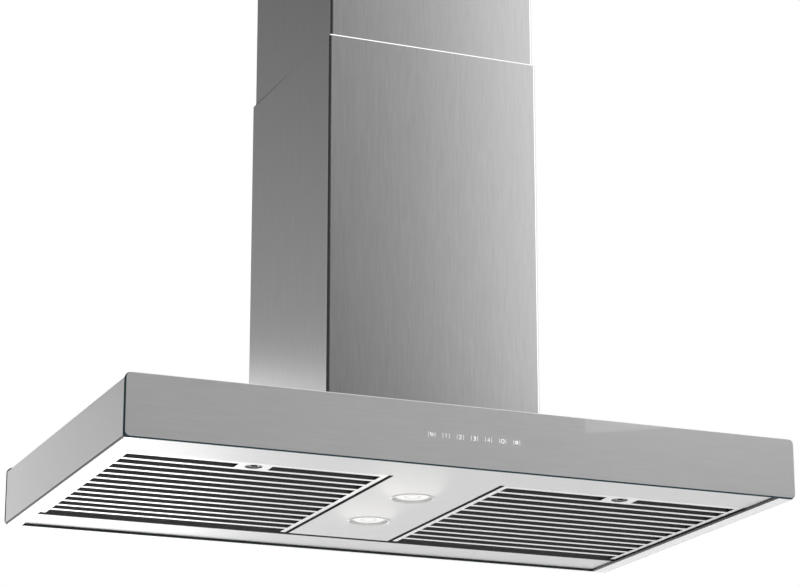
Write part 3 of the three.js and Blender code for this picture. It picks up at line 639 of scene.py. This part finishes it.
def build_flue(cover, back):
    """The cover is one sheet folded round the front and both sides; the back is a flat panel.

    Its left fold and its top edge have one look, its right fold another, and its flats the first.
    The looks of the folds and the top edge are copies of the chimney steel whose colour and gloss
    paint the light: painted shade on the left fold, painted highlights on the top edge and the right
    fold.
    """
    (x0, y0, z0), (x1, y1, z1) = span(cover)
    sheet, fold, cut = FLUE_SHEET, FLUE_FOLD, FLUE_CUT_EDGE
    profile = [(x0, y1), (x0, y0), (x1, y0), (x1, y1)]
    profile += [(x1 - sheet, y1), (x1 - sheet, y0 + sheet)]
    profile += [(x0 + sheet, y0 + sheet), (x0 + sheet, y1)]
    radii = [cut, fold, fold, cut, cut, fold - sheet, fold - sheet, cut]
    bm = bmesh.new()
    prism(bm, rounded(profile, radii, steps=8), "z", z0, z1)
    bmesh.ops.recalc_face_normals(bm, faces=bm.faces)

    def outer_top(edge):
        middle = (edge.verts[0].co + edge.verts[1].co) / 2
        outwards = [f.normal.x * middle.x + f.normal.y * middle.y for f in edge.link_faces]
        return middle.z > z1 - 0.1 * MM and max(outwards) > 0.05

    eased = [e for e in bm.edges if outer_top(e)]
    bmesh.ops.bevel(bm, geom=eased, offset=EASE_INWARDS, segments=1, profile=0.5, affect="EDGES")
    for vert in bm.verts:
        if 0.5 * EASE_INWARDS < z1 - vert.co.z < 1.5 * EASE_INWARDS:
            vert.co.z = z1 - EASE_DOWN

    # 0: the flats, 1: painted shade on the left fold and a painted highlight on the top edge, 2: a
    #    painted highlight on the right fold.
    def pick(face):
        normal = face.normal
        if max(abs(normal.x), abs(normal.y)) > 0.999:
            return 0
        return 1 if abs(normal.z) > 0.1 or normal.x < 0 else 2

    looks = [CHIMNEY, FOLD_SHADE_TOP_HIGHLIGHT, FOLD_HIGHLIGHT]
    stand_in(make_object(cover + "_sheet", bm, looks, sharp=15, pick=pick), cover)
    refined(back, 0.3 * MM)


# ---- Lamps -----------------------------------------------------------------------------------

RIM_TO_BODY = 1.65 * MM  # the bezel's parts, inwards from its rim
RIM_TO_WELL = 2.65 * MM
RIM_TO_LENS = 6.65 * MM
LENS_SEAT = 3.4 * MM  # above the bezel's lowest point
CAN_RIBS = 4
CAN_NECK = 0.92  # radius between the ribs, as a share of the can's


def round_box(node):
    """A round node's middle as (x, y), its radius, and its lower and upper end."""
    low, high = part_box(node)
    return ((low.x + high.x) / 2, (low.y + high.y) / 2), (high.x - low.x) / 2, low.z, high.z


def build_lamp_ring(which):
    """A bright flange round a paler well that slopes up to the lens."""
    node = which + "_lamp_bezel"
    centre, rim, z0, z1 = round_box(node)
    body, well, lens = rim - RIM_TO_BODY, rim - RIM_TO_WELL, rim - RIM_TO_LENS
    seat = z0 + LENS_SEAT
    profile = [
        (well - 0.2 * MM, z0 + 0.5 * MM),
        (rim - 1.9 * MM, z0 + 0.1 * MM),
        (rim - 1.2 * MM, z0),
        (rim - 0.4 * MM, z0 + 0.15 * MM),
        (rim, z0 + 0.6 * MM),
        (body, z0 + 0.6 * MM),
        (body, z1),
        (well, z1),
        (well, seat + 1 * MM),
        (lens, seat + 1 * MM),
        (lens, seat - 0.3 * MM),
        (lens + 0.6 * MM, seat - 0.3 * MM),
        (well - 0.8 * MM, seat),
    ]
    bm = bmesh.new()
    lathe(bm, profile, centre)

    def pick(face):
        middle = face.calc_center_median()
        radius = (middle.xy - Vector(centre)).length
        inside = radius < well - 0.3 * MM or radius < well and middle.z > z0 + 0.6 * MM
        return 1 if inside else 0

    stand_in(make_object(which + "_lamp_ring", bm, [ALUMINIUM, LAMP_WELL], pick=pick), node)


def build_lamp_lens(which):
    """A disc with a shallow dome on its lower face."""
    node = which + "_lamp_lens"
    centre, radius, z0, z1 = round_box(node)
    dome = [(0, z1), (radius, z1), (radius, z0 + 0.3 * MM), (radius * 0.97, z0)]
    dome += [(radius * 0.6, z0 - 0.25 * MM), (0, z0 - 0.3 * MM)]
    bm = bmesh.new()
    lathe(bm, dome, centre)
    stand_in(make_object(which + "_lamp_diffuser", bm, LENS), node)


def build_lamp_can(which):
    """The can behind the lens, with cooling ribs round it."""
    node = which + "_lamp_can"
    centre, radius, z0, z1 = round_box(node)
    neck = radius * CAN_NECK
    pitch = (z1 - z0) / CAN_RIBS
    profile = [(0, z0), (radius, z0)]
    for i in range(CAN_RIBS):
        z = z0 + i * pitch
        profile += [(radius, z + 0.55 * pitch), (neck, z + 0.6 * pitch)]
        profile += [(neck, z + 0.95 * pitch), (radius, z + pitch)]
    profile += [(0, z1)]
    bm = bmesh.new()
    lathe(bm, profile, centre, 64)
    stand_in(make_object(which + "_lamp_heatsink", bm, ALUMINIUM), node)


# ---- Touch keys ------------------------------------------------------------------------------

KEY_PITCH = 19.05 * MM
FIRST_KEY = -59.2 * MM
KEY_RISE = 38 * MM  # above the glass's lower edge
PRINT_THICKNESS = 0.06 * MM  # in front of the glass, and half of it sunk in
KEY_STROKE = 1.0  # line widths, in millimetres
BRACKET_STROKE = 0.5
RING_POINTS = 24  # in a full circle


def arc(x, z, radius, start, end, steps=14):
    """Points in millimetres along an arc, its angles in degrees from the right."""
    turns = [math.radians(start + (end - start) * i / steps) for i in range(steps + 1)]
    return [(x + radius * math.cos(a), z + radius * math.sin(a)) for a in turns]


def key_glyphs():
    """Each key's strokes: open lines as point lists, in millimetres about the key's middle."""
    circle = arc(0, 0, 1.0, 0, 360, RING_POINTS)[:-1]
    lamp = [arc(0.2, -0.3, 1.7, 210, -30), [(-0.9, -1.6), (1.3, -1.6)], [(-2.4, 2.4), (-1.2, 1.0)]]
    one = [[(-0.9, 1.6), (0.3, 2.5), (0.3, -2.5)]]
    two = [arc(0, 1.1, 1.4, 165, -35) + [(-1.5, -2.5), (1.6, -2.5)]]
    three = [arc(0, 1.2, 1.25, 150, -85), arc(0, -1.15, 1.4, 85, -150)]
    four = [[(0.8, -2.5), (0.8, 2.5), (-1.6, -0.9), (1.8, -0.9)]]
    off = [[(2.1 * x, 2.4 * z) for x, z in circle]]
    spokes = [[(1.7 * x, 1.7 * z), (2.5 * x, 2.5 * z)] for x, z in circle[::4]]
    menu = [[(1.5 * x, 1.5 * z) for x, z in circle]] + spokes
    return [
        ("lamp", lamp),
        ("speed_1", one),
        ("speed_2", two),
        ("speed_3", three),
        ("speed_4", four),
        ("off", off),
        ("settings", menu),
    ]


def ribbon(bm, points, width, y0, y1):
    """A flat band along (x, z) points, between two depths. A full ring of points is closed."""
    closed = len(points) == RING_POINTS
    count = len(points)
    rows = []
    for i, (x, z) in enumerate(points):
        here = Vector((x, z))
        before = Vector(points[i - 1]) if closed or i else here
        after = Vector(points[(i + 1) % count]) if closed or i < count - 1 else here
        along = (after - here).normalized() + (here - before).normalized()
        side = along.orthogonal().normalized() * width / 2
        rims = (here + side, here - side)
        rows.append([bm.verts.new((p.x, y, p.y)) for y in (y0, y1) for p in rims])
    pairs = list(zip(rows, rows[1:])) + ([(rows[-1], rows[0])] if closed else [])
    for one, two in pairs:
        for a, b in ((0, 1), (1, 3), (3, 2), (2, 0)):
            bm.faces.new((one[a], one[b], two[b], two[a]))
    if not closed:
        for row in (rows[0], rows[-1]):
            bm.faces.new((row[0], row[1], row[3], row[2]))


def build_keys():
    """A row of printed symbols, each between two brackets."""
    low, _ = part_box("front_glass")
    z = low.z + KEY_RISE
    y0, y1 = low.y - PRINT_THICKNESS, low.y + PRINT_THICKNESS / 2
    brackets = [[(side * 4.1, 3.3), (side * 4.4, 0), (side * 4.1, -3.3)] for side in (-1, 1)]
    for i, (name, strokes) in enumerate(key_glyphs()):
        x = FIRST_KEY + i * KEY_PITCH
        widths = [KEY_STROKE] * len(strokes) + [BRACKET_STROKE] * len(brackets)
        bm = bmesh.new()
        for line, width in zip(strokes + brackets, widths):
            placed = [(x + a * MM, z + b * MM) for a, b in line]
            ribbon(bm, placed, width * MM, y0, y1)
        extra(make_object("key_" + name, bm, KEY_PRINT), "hood")


# ---- The whole hood --------------------------------------------------------------------------

RAILS = [
    f"{level}_rail_{place}_{side}"
    for level in ("upper", "lower")
    for place in ("front", "back")
    for side in ("left", "right")
]
EASED_NODES = {  # the width of each node's eased edges
    "ceiling_plate": 0.4 * MM,
    "canopy_top": 0.3 * MM,
    "front_inner_wall": 0.3 * MM,
    "back_inner_wall": 0.3 * MM,
    "touch_board": 0.1 * MM,
    "touch_board_cover": 0.4 * MM,
    "control_box": 0.8 * MM,
    "control_box_lid": 0.5 * MM,
    "power_board": 0.1 * MM,
    "led_driver": 0.8 * MM,
    "junction_box": 0.4 * MM,
    "junction_box_lid": 0.3 * MM,
    "motor_bracket": 0.3 * MM,
    "blower_box": 0.4 * MM,
    **{rail: 0.3 * MM for rail in RAILS},
}

for node in ("front_glass", "back_glass"):
    build_glass(node)
for node in ("left_side_panel", "right_side_panel"):
    build_side_panel(node)
for level in ("upper", "lower"):
    build_flue(level + "_flue_cover", level + "_flue_back")
for which in ("front", "back"):
    build_lamp_ring(which)
    build_lamp_lens(which)
    build_lamp_can(which)
for side in ("left", "right"):
    build_filter(side)
for node in ("light_panel", "back_strip"):
    build_plate(node)
build_keys()

for node, bevel in EASED_NODES.items():
    refined(node, bevel)
for node, cad in NODES.items():
    if not cad.hide_render:
        cad.data.materials.clear()
        cad.data.materials.append(LOOK_OF_SLOT[SLOT_OF[node]])


# ---- Studio ----------------------------------------------------------------------------------

FLOOR_DROP = 1.65  # from the hood down to the floor
CAMERA_PLACE = Vector((-1.350, -3.297, -1.713))
CAMERA_TURN = math.radians(22.45)  # to the right of straight at the front
CAMERA_RISE = math.radians(16.62)  # the camera looks up
LENS_MM = 124.2
GLOW_WATTS = 0.026
GLOW_RADIUS = 0.05
GLOW_DROP = 0.03  # below the lens

# Each soft light of the sky: its axis, the cosines of the angle from the axis where it starts and
# is full, and its radiance before the start and where it is full.
SKY_LOBES = [
    ((0, 0, 1), 0.75, 1.0, 0.0, 1.8),
    ((0.15, -0.45, 0.88), 0.6, 1.0, 0.0, 0.6),
    ((-0.38, 0.9, -0.2), 0.77, 0.95, 0.0, 0.6),
    ((0.9, 0.45, 0), 0.2, 0.9, 0.0, 0.8),
    ((-0.85, -0.5, 0), -0.1, 0.6, 0.16, 0.0),
    ((0, 0, -1), -0.1, 0.3, 0.04, 0.6),
]

# Each soft box: its name, its middle, what it points at, its size, radiance and spread in degrees.
SOFT_BOXES = [
    ("front_right", (0.68, -0.85, -0.08), (0.15, -0.15, -0.3), (0.5, 1.2), 0.62, 110),
    ("back_left", (-0.60, 2.0, -0.54), (-0.4, 0, -0.8), (0.58, 0.6), 2.4, 180),
    ("under", (-0.1, 2.0, -1.5), (-0.2, 0, -0.95), (1.0, 0.9), 1.9, 180),
]


def heading(azimuth, elevation):
    """The direction at an angle to the right of +Y and at an angle up."""
    flat = math.cos(elevation)
    return Vector((math.sin(azimuth) * flat, math.cos(azimuth) * flat, math.sin(elevation)))


def build_camera():
    """A long lens, in front of the hood, below it and to its left."""
    data = bpy.data.cameras.new("camera")
    data.lens = LENS_MM
    data.sensor_width = 36
    camera = bpy.data.objects.new("camera", data)
    bpy.context.scene.collection.objects.link(camera)
    camera.location = CAMERA_PLACE
    camera.rotation_mode = "QUATERNION"
    camera.rotation_quaternion = heading(CAMERA_TURN, CAMERA_RISE).to_track_quat("-Z", "Y")
    bpy.context.scene.camera = camera


def build_floor(level):
    """A wide white floor. The camera looks up and doesn't see it."""
    bm = bmesh.new()
    bmesh.ops.create_grid(bm, x_segments=12, y_segments=12, size=14)
    for vert in bm.verts:
        vert.co.z = level
    material, tree, shader = new_material("floor_paint", Roughness=0.85)
    noise = object_noise(tree, (1.5,) * 3)
    ramp = colour_ramp(tree, noise, (0.3, grey(0.89)), (0.7, grey(0.91)))
    tree.links.new(ramp, shader.inputs["Base Color"])
    make_object("studio_floor", bm, material)


def sky_lobe(tree, direction, axis, begins, full, outside, inside):
    """A value that goes from outside to inside as a direction turns towards an axis."""
    facing = tree.nodes.new("ShaderNodeVectorMath")
    facing.operation = "DOT_PRODUCT"
    facing.inputs[1].default_value = Vector(axis).normalized()
    tree.links.new(direction, facing.inputs[0])
    return map_range(tree, facing.outputs["Value"], outside, inside, begins, full, smooth=True)


def build_world():
    """White where the camera sees it. As light it is the sum of the sky's lobes."""
    world = bpy.data.worlds.new("studio")
    bpy.context.scene.world = world
    world.use_nodes = True
    tree = world.node_tree
    nodes, links = tree.nodes, tree.links
    direction = nodes.new("ShaderNodeTexCoord").outputs["Generated"]
    lobes = [sky_lobe(tree, direction, *lobe) for lobe in SKY_LOBES]
    total = lobes[0]
    for lobe in lobes[1:]:
        add = nodes.new("ShaderNodeMath")
        add.operation = "ADD"
        links.new(total, add.inputs[0])
        links.new(lobe, add.inputs[1])
        total = add.outputs["Value"]
    seen = nodes.new("ShaderNodeLightPath").outputs["Is Camera Ray"]
    backdrop = nodes.new("ShaderNodeMix")
    backdrop.inputs["B"].default_value = 1.0
    links.new(seen, backdrop.inputs["Factor"])
    links.new(total, backdrop.inputs["A"])
    links.new(backdrop.outputs["Result"], nodes["Background"].inputs["Color"])


def soft_box(name, location, target, size, radiance, spread):
    """An area light. Its power follows from its size and how bright its face is."""
    data = bpy.data.lights.new(name, "AREA")
    data.shape = "RECTANGLE"
    data.size, data.size_y = size
    data.energy = radiance * math.pi * size[0] * size[1]
    data.spread = math.radians(spread)
    light = bpy.data.objects.new(name, data)
    light.location = location
    look = Vector(target) - Vector(location)
    light.rotation_mode = "QUATERNION"
    light.rotation_quaternion = look.to_track_quat("-Z", "Y")
    light.visible_camera = False
    bpy.context.scene.collection.objects.link(light)


def lamp_glow(which):
    """A halo on the plates round a lamp, from a small light just below it."""
    data = bpy.data.lights.new(which + "_glow", "POINT")
    data.energy = GLOW_WATTS
    data.color = (1.0, 0.96, 0.9)
    data.shadow_soft_size = GLOW_RADIUS
    light = bpy.data.objects.new(which + "_glow", data)
    lens = middle_of(which + "_lamp_lens")
    light.location = (lens.x, lens.y, lens.z - GLOW_DROP)
    light.visible_camera = False
    bpy.context.scene.collection.objects.link(light)


build_camera()
build_floor(cad_box[0].z - FLOOR_DROP)
build_world()
for box in SOFT_BOXES:
    soft_box(*box)
for which in ("front", "back"):
    lamp_glow(which)
bpy.context.scene.view_settings.view_transform = "Standard"
